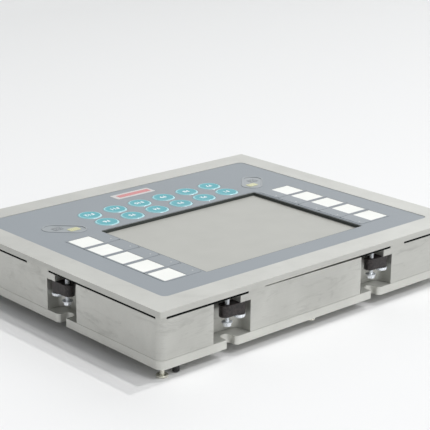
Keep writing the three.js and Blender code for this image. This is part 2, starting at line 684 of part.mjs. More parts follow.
// ---------- clamps ----------
const leverOutline = () => {
  const tip = REACH + LEVER_TIP - LEVER_HALF
  const points = []
  for (let i = 0; i <= 2 * LEVER_STEPS; i++) {
    const a = Math.PI / 2 + i / LEVER_STEPS * Math.PI / 2
    points.push([LEVER_HALF * Math.cos(a), LEVER_HALF * Math.sin(a)])
  }
  for (let i = 0; i <= 2 * LEVER_STEPS; i++) {
    const a = -Math.PI / 2 + i / LEVER_STEPS * Math.PI / 2
    points.push([tip + LEVER_HALF * Math.cos(a), LEVER_HALF * Math.sin(a)])
  }
  return points
}
const leverBottom = LEVER_TOP - LEVER_T
for (const [name, wall, start] of CLAMPS) {
  const [px, py] = WALLS[wall](start + PIVOT_U, PIVOT_D)
  const toLocal = (outline) => outline.map(([u, d]) => {
    const [x, y] = WALLS[wall](start + PIVOT_U + u, PIVOT_D + d)
    return [x - px, y - py]
  })
  const [bx, by] = toLocal([[REACH, 0]])[0]
  const barBottom = leverBottom + LEVER_BOSS_T
  const boss = prism(circlePoints(LEVER_HALF, CIRCLE), leverBottom, barBottom + CUT)
  const lever = prism(toLocal(leverOutline()), barBottom, LEVER_TOP)
    .add(boss)
    .subtract(prism(circlePoints(PIVOT_SHANK_R + GAP, CIRCLE), leverBottom - CUT, LEVER_TOP + CUT))
    .subtract(prism(
      circlePoints(BOLT_R + GAP, CIRCLE, bx, by), leverBottom - CUT, LEVER_TOP + CUT))
  addNode(`clamp_lever_${name}`, lever, 'lever', px, py)

  const headTop = leverBottom - GAP
  const pivot = turnedPiece([
    [0, headTop - PIVOT_HEAD_T],
    [PIVOT_HEAD_R - PIVOT_CROWN_IN, headTop - PIVOT_HEAD_T],
    [PIVOT_HEAD_R, headTop - PIVOT_HEAD_T + PIVOT_CROWN],
    [PIVOT_HEAD_R, headTop],
    [PIVOT_SHANK_R, headTop],
    [PIVOT_SHANK_R, BRIDGE_BOTTOM + PIVOT_BITE],
    [0, BRIDGE_BOTTOM + PIVOT_BITE],
  ], CIRCLE)
  addNode(`pivot_screw_${name}`, pivot, 'zinc', px, py)

  const flangeBase = BOLT_HEAD_Z + BOLT_HEAD_T
  const hexagon = circlePoints(BOLT_HEX_R, 6)
  const bolt = prism(hexagon, BOLT_HEAD_Z, flangeBase + BOLT_FLANGE_T / 2)
    .add(turnedPiece([
      [0, flangeBase],
      [BOLT_FLANGE_R, flangeBase],
      [BOLT_FLANGE_R, flangeBase + BOLT_FLANGE_T],
      [BOLT_R, flangeBase + BOLT_FLANGE_T],
      [BOLT_R, BOLT_TIP_Z - BOLT_POINT],
      [BOLT_R - BOLT_POINT, BOLT_TIP_Z],
      [0, BOLT_TIP_Z],
    ], CIRCLE))
  addNode(`clamp_screw_${name}`, bolt, 'zinc', px + bx, py + by)
}

// ---------- feet, rear screw and power socket ----------
// A screw that hangs head down from z0, with a crowned head
const headDown = (z0, headR, headT) => turnedPiece([
  [0, z0],
  [headR - FOOT_CROWN, z0],
  [headR, z0 + FOOT_CROWN],
  [headR, z0 + headT],
  [SHANK_R, z0 + headT],
  [SHANK_R, SHANK_TOP],
  [0, SHANK_TOP],
], CIRCLE)
const foot = headDown(0, FOOT_HEAD_R, FOOT_HEAD_T)
for (const [name, x, y] of FEET) addNode(`foot_screw_${name}`, foot, 'zinc', x, y)
const rearScrewZ = REAR_BOTTOM - GAP - REAR_SCREW_HEAD_T
const rearScrew = headDown(rearScrewZ, REAR_SCREW_HEAD_R, REAR_SCREW_HEAD_T)
addNode('rear_screw_top', rearScrew, 'zinc', REAR_SCREW_X, REAR_SCREW_Y)

const barrel = prism(circlePoints(SOCKET_R, CIRCLE), SOCKET_BOTTOM, SOCKET_TOP)
const mouth = prism(
  circlePoints(SOCKET_BORE_R, CIRCLE), SOCKET_BOTTOM - CUT, SOCKET_TOP - SOCKET_END)
addNode('power_socket', barrel.subtract(mouth), 'socket', SOCKET_X, SOCKET_Y)

export default panel
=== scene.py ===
import json
import math

import bmesh
import bpy
from mathutils import Matrix, Vector


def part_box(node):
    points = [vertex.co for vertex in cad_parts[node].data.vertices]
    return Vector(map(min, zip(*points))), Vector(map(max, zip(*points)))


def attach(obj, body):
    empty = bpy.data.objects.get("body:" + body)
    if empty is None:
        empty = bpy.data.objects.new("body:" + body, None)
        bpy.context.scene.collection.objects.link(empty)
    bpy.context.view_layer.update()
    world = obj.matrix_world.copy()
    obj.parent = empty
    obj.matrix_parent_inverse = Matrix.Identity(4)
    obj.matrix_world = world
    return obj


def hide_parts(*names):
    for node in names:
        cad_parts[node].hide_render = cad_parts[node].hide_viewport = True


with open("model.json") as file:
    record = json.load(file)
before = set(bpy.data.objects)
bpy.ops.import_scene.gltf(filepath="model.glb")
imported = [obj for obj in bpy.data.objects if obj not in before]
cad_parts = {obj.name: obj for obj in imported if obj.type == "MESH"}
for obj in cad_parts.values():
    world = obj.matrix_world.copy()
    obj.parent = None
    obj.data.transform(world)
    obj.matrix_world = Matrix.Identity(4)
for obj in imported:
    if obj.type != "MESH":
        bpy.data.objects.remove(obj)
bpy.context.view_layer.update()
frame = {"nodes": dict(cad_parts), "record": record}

MM = 0.001  # lengths below are in millimetres


def centre(node):
    """Middle of a CAD node's box, in millimetres."""
    low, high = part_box(node)
    return (low + high) / 2 / MM


def span(node):
    """Lowest and highest corner of a CAD node, in millimetres."""
    low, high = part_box(node)
    return low / MM, high / MM


# ---------- dimensions of the frame that the pieces follow ----------
GAP = 0.3  # clearance between pieces that touch in life
CUT = 1  # how far a cutting tool runs past the face it cuts
ARC = 10  # straight steps in a quarter turn
ROUND = 48  # straight steps in a full turn
SMALL_ROUND = 24  # the same, round small holes and pins

# front plate, and the bed sunk into it for the laminate
PLATE_LOW, PLATE_HIGH = span("front_plate")
FRONT_Z = PLATE_HIGH.z
PLATE_W = PLATE_HIGH.x - PLATE_LOW.x
PLATE_H = PLATE_HIGH.y - PLATE_LOW.y
PLATE_R = 1.5
PLATE_BACK = 71.2
BORDER = 30.8
BED_Z = 76.8
BED_R = 7
BED_W = PLATE_W - 2 * BORDER
BED_H = PLATE_H - 2 * BORDER
LAM_TOP = span("front_laminate")[1].z
LAM_BOTTOM = span("front_laminate")[0].z
POST_R, POST_END = 3, 69.3
POSTS = ((-195, -150), (195, -150), (-195, 150), (195, 150), (0, -135), (0, 150))

# window, its seal and the glass
WIN_W, WIN_H, WIN_Y, WIN_R = 250, 187.5, 43.5, 3
GLASS_W, GLASS_H = 264, 201.5
REBATE_Z = 74
SEAL_WALL, SEAL_FLANGE_W, SEAL_FLANGE_T = 1.4, 5, 0.4
SILL_DROP, SILL_W = 0.4, 1.4  # the shallow slope of the laminate round the window

# side keys and label strips
CELL_W, CELL_H, CELL_R = 52.6, 34.9, 3
CELL_COUNT = 5
SIDE_RECESS_Z = 75.2
SIDE_KEY_BOTTOM = 76.1
LABEL_RECESS_Z = 74.4
LABEL_RECESS_FROM, LABEL_RECESS_TO = 145.5, 180.9
LABEL_X, LABEL_W, LABEL_H, LABEL_R = 163, 30, 29.5, 1
LABEL_BASE_T = 0.5
SIDE_STEM_X, SIDE_STEM_R, SIDE_STEM_HOLE_R = 140.5, 2.5, 3.1
STEM_ROOT = 0.5  # how far a stem runs up into its key
DOT_X, DOT_UP, DOT_R = 134, 8.7, 1.0

# inserts below the window's corners
IND_X, IND_Y, IND_L, IND_W, IND_R = 153, -83, 54, 28, 13
IND_RECESS_Z = 75.8
IND_RIM, IND_DISH = 2.2, 0.6
LENS_W, LENS_H, LENS_R, LENS_SHIFT = 15, 10, 2, 8
PANE_W, PANE_H, PANE_R, PANE_SHIFT = 13, 11, 1.5, 6

# name plate and the bar printed on it
NAME_W, NAME_H, NAME_R, NAME_Y = 61, 18, 1, -144.5
BAR_W, BAR_H, BAR_R, BAR_X = 51, 9.5, 0.8, -1.5

# function keys
KEY_R, KEY_STEM_R = 15, 4
KEY_HOLE_R, PLATE_KEY_HOLE_R = 15.12, 16
KEY_BOTTOM = 76.1

# housing, with the lands and slopes that the bezel lies on
HOUSE_W, HOUSE_H, HOUSE_R = 478.6, 391, 9
HOUSE_TOP = 67.7
WALL, INNER_R = 10, 3
LAND_TOP = 70.9
LAND_DEPTH = 5
LAND_TO = 3
LAND_LONG, LAND_SHORT = 41, 24
SLOPE_DROP = 1.6
CORNER_LAND = 8
SEAM_Z = 23.1

# rear plate
REAR_TOP = 22.8
REAR_BOTTOM = 13
REAR_FLOOR = 3
CORNER_PAD = 30
SCREW_HOLE_R, SOCKET_HOLE_R = 2.9, 4.2

# clamps: u runs along the wall from a pocket's pivot edge, d runs inward from the wall
POCKET_L, POCKET_D, POCKET_R = 53, 22, 11
POCKET_BACK = 5
BRIDGE_L = 14.8
BRIDGE_BOTTOM = 60
PIVOT_U, PIVOT_D, REACH = 9.5, 7.5, 17.6
PIVOT_R, PIVOT_BORE_R, PIVOT_BORE_DEPTH = 3, 3.3, 6.5
BOLT_R, BOLT_BORE_R = 2.5, 2.8
LEVER_HALF, LEVER_TIP, LEVER_BOSS_T = 6.3, 9.6, 1.6
NOTCH_HALF, NOTCH_ROUND = 7, 5

CLAMP_WALLS = {
    "top_right": "top",
    "top_left": "top",
    "bottom_right": "bottom",
    "bottom_left": "bottom",
    "right": "right",
    "left": "left",
}

BODY_OF = {n: b for b, ns in frame["record"]["behaviour"]["bodies"].items() for n in ns}


# ---------- outlines, in millimetres ----------
def rounded(w, h, r, cx=0.0, cy=0.0, steps=ARC):
    points = []
    for sx, sy, quarter in ((1, 1, 0), (-1, 1, 1), (-1, -1, 2), (1, -1, 3)):
        for i in range(steps + 1):
            a = (quarter + i / steps) * math.pi / 2
            points.append((cx + sx * (w / 2 - r) + r * math.cos(a),
                           cy + sy * (h / 2 - r) + r * math.sin(a)))
    return points


def rect(x0, y0, x1, y1):
    return [(x0, y0), (x1, y0), (x1, y1), (x0, y1)]


def circle(r, cx=0.0, cy=0.0, n=ROUND):
    return [(cx + r * math.cos(i * math.tau / n), cy + r * math.sin(i * math.tau / n))
            for i in range(n)]


def turned(points, angle, cx, cy):
    c, s = math.cos(angle), math.sin(angle)
    return [(cx + x * c - y * s, cy + x * s + y * c) for x, y in points]


# ---------- mesh helpers ----------
def new_object(name, verts, faces):
    mesh = bpy.data.meshes.new(name)
    mesh.from_pydata([Vector(v) * MM for v in verts], [], faces)
    mesh.update()
    obj = bpy.data.objects.new(name, mesh)
    bpy.context.scene.collection.objects.link(obj)
    return obj


def prism(outline, z0, z1, name="tool"):
    area = sum(a[0] * b[1] - b[0] * a[1]
               for a, b in zip(outline, outline[1:] + outline[:1]))
    ring = outline if area > 0 else outline[::-1]
    n = len(ring)
    verts = [(x, y, z0) for x, y in ring] + [(x, y, z1) for x, y in ring]
    faces = [tuple(range(n - 1, -1, -1)), tuple(range(n, 2 * n))]
    faces += [(i, (i + 1) % n, n + (i + 1) % n, n + i) for i in range(n)]
    return new_object(name, verts, faces)


def lathe(profile, name="tool", n=ROUND, cx=0.0, cy=0.0):
    """A turned piece from (radius, z) pairs, first and last on the axis, going up."""
    verts = [(cx, cy, profile[0][1])]
    for r, z in profile[1:-1]:
        verts += [(cx + r * math.cos(i * math.tau / n), cy + r * math.sin(i * math.tau / n), z)
                  for i in range(n)]
    verts.append((cx, cy, profile[-1][1]))
    faces = []
    last = len(verts) - 1
    rings = len(profile) - 2
    for i in range(n):
        j = (i + 1) % n
        faces.append((0, 1 + j, 1 + i))
        for k in range(rings - 1):
            a, b = 1 + k * n, 1 + (k + 1) * n
            faces.append((a + i, a + j, b + j, b + i))
        top = 1 + (rings - 1) * n
        faces.append((top + i, top + j, last))
    return new_object(name, verts, faces)


def settle(obj):
    """Applies obj's modifiers to its mesh."""
    dg = bpy.context.evaluated_depsgraph_get()
    mesh = bpy.data.meshes.new_from_object(obj.evaluated_get(dg), depsgraph=dg)
    obj.modifiers.clear()
    old = obj.data
    obj.data = mesh
    bpy.data.meshes.remove(old)


def drop(obj):
    mesh = obj.data
    bpy.data.objects.remove(obj)
    bpy.data.meshes.remove(mesh)


def combine(obj, tool, operation):
    mod = obj.modifiers.new("combine", "BOOLEAN")
    mod.operation = operation
    mod.solver = "MANIFOLD"
    mod.object = tool
    settle(obj)
    drop(tool)
    return obj


def cut(obj, tool):
    return combine(obj, tool, "DIFFERENCE")


def add(obj, tool):
    return combine(obj, tool, "UNION")


def keep(obj, tool):
    return combine(obj, tool, "INTERSECT")


def soften(obj, width, segments=2, angle=32):
    """Rounds obj's edges and gives it smooth shading that stays flat on flat faces."""
    bm = bmesh.new()
    bm.from_mesh(obj.data)
    bmesh.ops.remove_doubles(bm, verts=bm.verts, dist=1e-7)
    bmesh.ops.dissolve_limit(bm, angle_limit=math.radians(0.5), verts=bm.verts, edges=bm.edges)
    bm.to_mesh(obj.data)
    bm.free()
    if width:
        bevel = obj.modifiers.new("edges", "BEVEL")
        bevel.width = width * MM
        bevel.segments = segments
        bevel.limit_method = "ANGLE"
        bevel.angle_limit = math.radians(angle)
        bevel.use_clamp_overlap = True
        bevel.miter_outer = "MITER_ARC"
        settle(obj)
    smooth(obj)
    return obj


def smooth(obj, angle=50):
    mesh = obj.data
    mesh.shade_smooth()
    mesh.set_sharp_from_angle(angle=math.radians(angle))
    weighted = obj.modifiers.new("normals", "WEIGHTED_NORMAL")
    weighted.keep_sharp = True
    return obj


def join(obj, others):
    """Adds other objects' meshes to obj's, each keeping its material."""
    bm = bmesh.new()
    materials = list(obj.data.materials)
    bm.from_mesh(obj.data)
    for other in others:
        start = len(bm.faces)
        bm.from_mesh(other.data)
        bm.faces.ensure_lookup_table()
        for m in other.data.materials:
            if m not in materials:
                materials.append(m)
        index = materials.index(other.data.materials[0])
        for face in bm.faces[start:]:
            face.material_index = index
    mesh = bpy.data.meshes.new(obj.name)
    bm.to_mesh(mesh)
    bm.free()
    for m in materials:
        mesh.materials.append(m)
    old = obj.data
    obj.data = mesh
    bpy.data.meshes.remove(old)
    for other in others:
        drop(other)
    return obj


# ---------- material helpers ----------
class Look:
    """A node material built up from a Principled shader."""

    def __init__(self, name, color, roughness, metallic=0.0, **sockets):
        self.material = bpy.data.materials.new(name)
        self.material.use_nodes = True
        self.tree = self.material.node_tree
        self.tree.nodes.clear()
        self.out = self.node("ShaderNodeOutputMaterial")
        self.shader = self.node("ShaderNodeBsdfPrincipled")
        self.link(self.shader.outputs["BSDF"], self.out.inputs["Surface"])
        self.set("Base Color", (*color, 1.0))
        self.set("Roughness", roughness)
        self.set("Metallic", metallic)
        for key, value in sockets.items():
            self.set(key.replace("_", " "), value)
        self.coords = self.node("ShaderNodeTexCoord").outputs["Object"]

    def node(self, kind, **settings):
        made = self.tree.nodes.new(kind)
        for key, value in settings.items():
            setattr(made, key, value)
        return made

    def link(self, a, b):
        self.tree.links.new(a, b)

    def set(self, socket, value):
        self.shader.inputs[socket].default_value = value

    def noise(self, scale, detail=2.0, stretch=(1, 1, 1), roughness=0.5, distortion=0.0):
        mapping = self.node("ShaderNodeMapping")
        mapping.inputs["Scale"].default_value = stretch
        self.link(self.coords, mapping.inputs["Vector"])
        noise = self.node("ShaderNodeTexNoise")
        noise.inputs["Scale"].default_value = scale
        noise.inputs["Detail"].default_value = detail
        noise.inputs["Roughness"].default_value = roughness
        noise.inputs["Distortion"].default_value = distortion
        self.link(mapping.outputs["Vector"], noise.inputs["Vector"])
        return noise.outputs["Fac"]

    def span(self, value, low, high, out_low=0.0, out_high=1.0):
        ranged = self.node("ShaderNodeMapRange", clamp=True)
        for key, number in zip(("From Min", "From Max", "To Min", "To Max"),
                               (low, high, out_low, out_high)):
            ranged.inputs[key].default_value = number
        self.link(value, ranged.inputs["Value"])
        return ranged.outputs["Result"]

    def math(self, operation, a, b):
        made = self.node("ShaderNodeMath", operation=operation)
        for socket, value in zip(made.inputs, (a, b)):
            if isinstance(value, (int, float)):
                socket.default_value = value
            else:
                self.link(value, socket)
        return made.outputs["Value"]

    def mix(self, factor, a, b):
        """Colour between a and b, each a colour or a socket."""
        made = self.node("ShaderNodeMix", data_type="RGBA")
        self.link(factor, made.inputs["Factor"])
        for socket, value in ((made.inputs[6], a), (made.inputs[7], b)):
            if isinstance(value, tuple):
                socket.default_value = (*value, 1.0)
            else:
                self.link(value, socket)
        return made.outputs[2]

    def edges(self, radius, strength=1.0):
        """1 along a piece's edges and 0 on its faces."""
        bevel = self.node("ShaderNodeBevel", samples=4)
        bevel.inputs["Radius"].default_value = radius * MM
        normal = self.node("ShaderNodeNewGeometry").outputs["Normal"]
        dot = self.node("ShaderNodeVectorMath", operation="DOT_PRODUCT")
        self.link(bevel.outputs["Normal"], dot.inputs[0])
        self.link(normal, dot.inputs[1])
        return self.span(dot.outputs["Value"], 0.995, 0.85, 0.0, strength)

    def color(self, socket):
        self.link(socket, self.shader.inputs["Base Color"])

    def rough(self, socket):
        self.link(socket, self.shader.inputs["Roughness"])

    def bump(self, height, painted_falloff, strength=1.0):
        bump = self.node("ShaderNodeBump")
        bump.inputs["Distance"].default_value = painted_falloff * MM
        bump.inputs["Strength"].default_value = strength
        self.link(height, bump.inputs["Height"])
        self.link(bump.outputs["Normal"], self.shader.inputs["Normal"])


def aluminium(name, dark, light, roughness, grain_axis, smudge, metallic=0.85):
    """Machined metal: a fine grain along one axis, broad smudges, and a painted highlight that lightens
    its edges.
    """
    look = Look(name, light, roughness, metallic=metallic)
    stretch = [900.0, 900.0, 900.0]
    stretch[grain_axis] = 14.0
    grain = look.noise(1.0, 3.0, tuple(stretch))
    cloud = look.noise(14.0, 4.0, (1, 1, 1), 0.6, 0.4)
    marks = look.noise(34.0, 6.0, (0.7, 0.7, 2.6), 0.7, 0.8)
    tone = look.math("ADD", look.span(cloud, 0.3, 0.7, 0, 0.7), look.span(grain, 0.3, 0.7, 0, 0.3))
    base = look.mix(tone, dark, light)
    spots = look.span(marks, 0.54, 0.72, 0.0, smudge)
    base = look.mix(spots, base, tuple(0.8 * c for c in dark))
    # painted highlight: the edges are mixed towards a lighter colour in place of the light they catch
    edge_highlight = look.edges(0.5, 0.55)
    look.color(look.mix(edge_highlight, base, tuple(min(1.0, 1.08 * c) for c in light)))
    rough = look.math("ADD", look.span(grain, 0.25, 0.75, roughness - 0.07, roughness + 0.05),
                      look.span(marks, 0.5, 0.8, 0.0, 0.12))
    look.rough(rough)
    look.bump(grain, 0.02, 0.35)
    return look.material


def foil(name, dark, light, roughness, grain=0.03, **sockets):
    """Printed front foil with a fine matte texture."""
    look = Look(name, light, roughness, **sockets)
    cloud = look.noise(9.0, 3.0)
    fine = look.noise(1400.0, 2.0)
    tone = look.math("ADD", look.span(cloud, 0.3, 0.7, 0, 0.75), look.span(fine, 0.3, 0.7, 0, 0.25))
    look.color(look.mix(tone, dark, light))
    look.rough(look.span(cloud, 0.3, 0.7, roughness - 0.05, roughness + 0.05))
    look.bump(fine, grain, 0.4)
    return look.material


def plain(name, dark, light, roughness, scale=900.0, depth=0.02, **sockets):
    """A moulded or coated surface with a fine grain and slight changes of tone."""
    look = Look(name, light, roughness, **sockets)
    cloud = look.noise(30.0, 3.0)
    fine = look.noise(scale, 3.0)
    tone = look.math("ADD", look.span(cloud, 0.3, 0.7, 0, 0.6), look.span(fine, 0.3, 0.7, 0, 0.4))
    look.color(look.mix(tone, dark, light))
    look.rough(look.span(fine, 0.3, 0.7, roughness - 0.06, roughness + 0.06))
    look.bump(fine, depth, 0.5)
    return look.material


def casting(name, dark, light, roughness, scale, depth):
    """A rough cast surface, mottled at the size of its grain."""
    look = Look(name, light, roughness)
    lumps = look.noise(scale, 4.0, (1, 1, 1), 0.65)
    look.color(look.mix(look.span(lumps, 0.42, 0.66), dark, light))
    look.rough(look.span(lumps, 0.35, 0.7, roughness - 0.12, roughness + 0.12))
    look.bump(lumps, depth, 0.8)
    return look.material


PLATE_LOOK = aluminium("brushed_plate", (0.505, 0.505, 0.475), (0.587, 0.587, 0.552), 0.5, 0, 0.12, 0.5)
FRAME_LOOK = aluminium("milled_frame", (0.475, 0.475, 0.446), (0.60, 0.60, 0.565), 0.4, 0, 0.6, 0.7)
REAR_LOOK = aluminium("milled_plate", (0.57, 0.57, 0.535), (0.68, 0.68, 0.64), 0.4, 0, 0.25, 0.6)
LAMINATE_LOOK = foil("front_foil", (0.242, 0.268, 0.29), (0.28, 0.307, 0.33), 0.55)
SIDE_KEY_LOOK = foil("key_foil", (0.225, 0.25, 0.271), (0.262, 0.288, 0.309), 0.45, 0.02)
LABEL_LOOK = plain("label_card", (0.81, 0.82, 0.785), (0.87, 0.875, 0.84), 0.6, 1200.0, 0.01)
KEY_LOOK = foil("teal_foil", (0.065, 0.33, 0.385), (0.10, 0.39, 0.44), 0.5, 0.01)
# the key rim's paler teal is partly print and partly a painted highlight for the bright arcs the lamps
# draw on the rim
KEY_RIM_PRINT_AND_HIGHLIGHT_LOOK = foil("teal_rim_and_highlight", (0.20, 0.50, 0.55), (0.27, 0.57, 0.61), 0.27, 0.002, IOR=2.0)
LEGEND_LOOK = plain("white_print", (0.80, 0.84, 0.85), (0.88, 0.91, 0.91), 0.45)
INDICATOR_LOOK = foil("grey_insert", (0.20, 0.225, 0.24), (0.24, 0.265, 0.28), 0.3, 0.008, IOR=1.7)
YELLOW_LOOK = plain("yellow_lens", (0.46, 0.46, 0.25), (0.56, 0.55, 0.31), 0.3, 700.0, 0.01)
WINDOW_LOOK = plain("dark_window", (0.15, 0.17, 0.18), (0.18, 0.20, 0.21), 0.3, 700.0, 0.01)
NAME_LOOK = plain("pale_plate", (0.52, 0.51, 0.50), (0.60, 0.59, 0.575), 0.4, 900.0, 0.01)
RED_LOOK = plain("red_print", (0.52, 0.17, 0.175), (0.60, 0.22, 0.22), 0.4, 900.0, 0.01)
SEAL_LOOK = plain("black_rubber", (0.004, 0.005, 0.005), (0.009, 0.011, 0.010), 0.85,
                  Specular_IOR_Level=0.1)
LINER_LOOK = plain("dark_liner", (0.028, 0.034, 0.031), (0.045, 0.054, 0.050), 0.42)
GLASS_LOOK = plain("anti_glare", (0.40, 0.40, 0.37), (0.435, 0.435, 0.402), 0.5, 2500.0, 0.008)
METAL_LOOK = aluminium("sheet_steel", (0.38, 0.39, 0.40), (0.48, 0.49, 0.50), 0.4, 1, 0.1)
BOARD_LOOK = plain("solder_mask", (0.02, 0.08, 0.04), (0.04, 0.14, 0.07), 0.4, 500.0, 0.03)
LEVER_LOOK = casting("black_casting", (0.004, 0.003, 0.003), (0.048, 0.037, 0.036), 0.5, 330.0, 0.3)
ZINC_LOOK = aluminium("zinc_plate", (0.78, 0.82, 0.86), (0.90, 0.93, 0.96), 0.3, 2, 0.05, 0.55)
NICKEL_LOOK = aluminium("nickel_plate", (0.66, 0.65, 0.57), (0.82, 0.81, 0.72), 0.26, 2, 0.05, 0.7)
SOCKET_LOOK = plain("black_moulding", (0.012, 0.012, 0.013), (0.03, 0.03, 0.032), 0.4, 900.0, 0.03)


def paint(obj, look):
    obj.data.materials.clear()
    obj.data.materials.append(look)


def finish_piece(obj, look, slot, *nodes):
    """Gives a new piece its material and body, and hides the CAD node it stands for."""
    if look is not None:
        paint(obj, look)
    obj.name = obj.data.name = nodes[0] + "_shape"
    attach(obj, BODY_OF[nodes[0]])
    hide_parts(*nodes)
    return obj


# ---------- walls and clamps ----------
WALL_X, WALL_Y = HOUSE_W / 2, HOUSE_H / 2
ON_WALL = {
    "top": lambda u, d: (u, WALL_Y - d),
    "bottom": lambda u, d: (u, -WALL_Y + d),
    "right": lambda u, d: (WALL_X - d, u),
    "left": lambda u, d: (-WALL_X + d, u),
}
CLAMPS = []
for clamp_name, wall_name in CLAMP_WALLS.items():
    pivot = centre("pivot_screw_" + clamp_name)
    along = pivot.x if wall_name in ("top", "bottom") else pivot.y
    CLAMPS.append((clamp_name, wall_name, along - PIVOT_U))


def on_wall(wall, start, outline):
    return [ON_WALL[wall](start + u, d) for u, d in outline]


def pocket_outline():
    r = POCKET_R
    points = [(POCKET_L, -CUT), (0, -CUT)]
    for i in range(ARC + 1):
        a = i / ARC * math.pi / 2
        points.append((r - r * math.cos(a), POCKET_D - r + r * math.sin(a)))
    for i in range(ARC + 1):
        a = i / ARC * math.pi / 2
        points.append((POCKET_L - r + r * math.sin(a), POCKET_D - r + r * math.cos(a)))
    return points


def notch_outline():
    c = PIVOT_U + REACH
    u0, u1 = c - NOTCH_HALF, c + NOTCH_HALF
    r = NOTCH_ROUND
    points = [(u1, -CUT), (u0 - r, -CUT), (u0 - r, 0)]
    for i in range(1, ARC + 1):
        a = i / ARC * math.pi / 2
        points.append((u0 - r + r * math.sin(a), r - r * math.cos(a)))
    for i in range(2 * ARC + 1):
        a = math.pi - i / ARC * math.pi / 2
        points.append((c + NOTCH_HALF * math.cos(a), PIVOT_D + NOTCH_HALF * math.sin(a)))
    return points


# ---------- front plate ----------
KEYS = sorted(n for n in frame["nodes"] if n.startswith("function_key_"))
SIDE_KEYS = sorted(n for n in frame["nodes"] if n.startswith("side_key_"))
CELLS_LOW = min(span(n)[0].y for n in SIDE_KEYS)
CELLS_HIGH = max(span(n)[1].y for n in SIDE_KEYS)
CELL_X = centre("side_key_right_1").x


def insert_outline(side, grow):
    shape = rounded(IND_L + 2 * grow, IND_W + 2 * grow, IND_R + grow)
    return turned(shape, -side * math.pi / 4, side * IND_X, IND_Y)


def cells_outline(side):
    return rounded(CELL_W + 2 * GAP, CELLS_HIGH - CELLS_LOW + 2 * GAP, CELL_R,
                   side * CELL_X, (CELLS_LOW + CELLS_HIGH) / 2)


window = rounded(WIN_W, WIN_H, WIN_R, 0, WIN_Y)
plate = prism(rounded(PLATE_W, PLATE_H, PLATE_R), PLATE_BACK, FRONT_Z)
cut(plate, prism(rounded(BED_W, BED_H, BED_R), BED_Z, FRONT_Z + CUT))
cut(plate, prism(window, PLATE_BACK - CUT, FRONT_Z + CUT))
rebate = rounded(GLASS_W + 2 * GAP, GLASS_H + 2 * GAP, WIN_R, 0, WIN_Y)
cut(plate, prism(rebate, PLATE_BACK - CUT, REBATE_Z))
for key in KEYS:
    middle = centre(key)
    cut(plate, prism(circle(PLATE_KEY_HOLE_R, middle.x, middle.y), PLATE_BACK - CUT, FRONT_Z))
for side in (-1, 1):
    cut(plate, prism(cells_outline(side), SIDE_RECESS_Z, FRONT_Z))
    x0, x1 = sorted((side * LABEL_RECESS_FROM, side * LABEL_RECESS_TO))
    cut(plate, prism(rect(x0, CELLS_LOW, x1, CELLS_HIGH), LABEL_RECESS_Z, SIDE_RECESS_Z + CUT))
    cut(plate, prism(insert_outline(side, GAP), IND_RECESS_Z, FRONT_Z))
for key in SIDE_KEYS:
    low, high = span(key)
    side = 1 if "right" in key else -1
    stem_y = (low.y + high.y) / 2
    stem_hole = circle(SIDE_STEM_HOLE_R, side * SIDE_STEM_X, stem_y, SMALL_ROUND)
    cut(plate, prism(stem_hole, PLATE_BACK - CUT, FRONT_Z))
for x, y in POSTS:
    add(plate, prism(circle(POST_R, x, y, SMALL_ROUND), POST_END, PLATE_BACK + CUT))
soften(plate, 0.35, 3)
finish_piece(plate, PLATE_LOOK, "plate_aluminium", "front_plate")

# ---------- laminate ----------
laminate = prism(rounded(BED_W - 2 * GAP, BED_H - 2 * GAP, BED_R - GAP), LAM_BOTTOM, LAM_TOP)
name_hole = rounded(NAME_W + 2 * GAP, NAME_H + 2 * GAP, NAME_R, 0, NAME_Y)
for outline in ([window, name_hole]
                + [circle(KEY_HOLE_R, centre(k).x, centre(k).y) for k in KEYS]
                + [cells_outline(s) for s in (-1, 1)]
                + [insert_outline(s, GAP / 2) for s in (-1, 1)]):
    cut(laminate, prism(outline, LAM_BOTTOM - CUT, LAM_TOP + CUT))
sill = prism(window, LAM_TOP - SILL_DROP, LAM_TOP + SILL_DROP)
wide = rounded(WIN_W + 4 * SILL_W, WIN_H + 4 * SILL_W, WIN_R + 2 * SILL_W, 0, WIN_Y)
for vertex, (x, y) in zip(list(sill.data.vertices)[len(wide):], wide):
    vertex.co.x, vertex.co.y = x * MM, y * MM
cut(laminate, sill)
soften(laminate, 0.12, 2)
finish_piece(laminate, LAMINATE_LOOK, "laminate", "front_laminate")

# ---------- seal and glass ----------
seal_low, seal_high = span("display_seal")
seal = prism(rounded(WIN_W - 2 * GAP, WIN_H - 2 * GAP, WIN_R, 0, WIN_Y), seal_low.z, seal_high.z)
flange = rounded(WIN_W + 2 * SEAL_FLANGE_W, WIN_H + 2 * SEAL_FLANGE_W, WIN_R, 0, WIN_Y)
add(seal, prism(flange, seal_low.z, seal_low.z + SEAL_FLANGE_T))
seal_inset = 2 * (GAP + SEAL_WALL)
seal_hole = rounded(WIN_W - seal_inset, WIN_H - seal_inset, WIN_R - SEAL_WALL, 0, WIN_Y)
cut(seal, prism(seal_hole, seal_low.z - CUT, FRONT_Z + CUT))
soften(seal, 0.1, 2)
finish_piece(seal, LINER_LOOK, "seal_rubber", "display_seal")

glass_low, glass_high = span("touch_glass")
glass = prism(rounded(GLASS_W, GLASS_H, WIN_R, 0, WIN_Y), glass_low.z, glass_high.z)
soften(glass, 0.15, 2)
finish_piece(glass, GLASS_LOOK, "display_glass", "touch_glass")

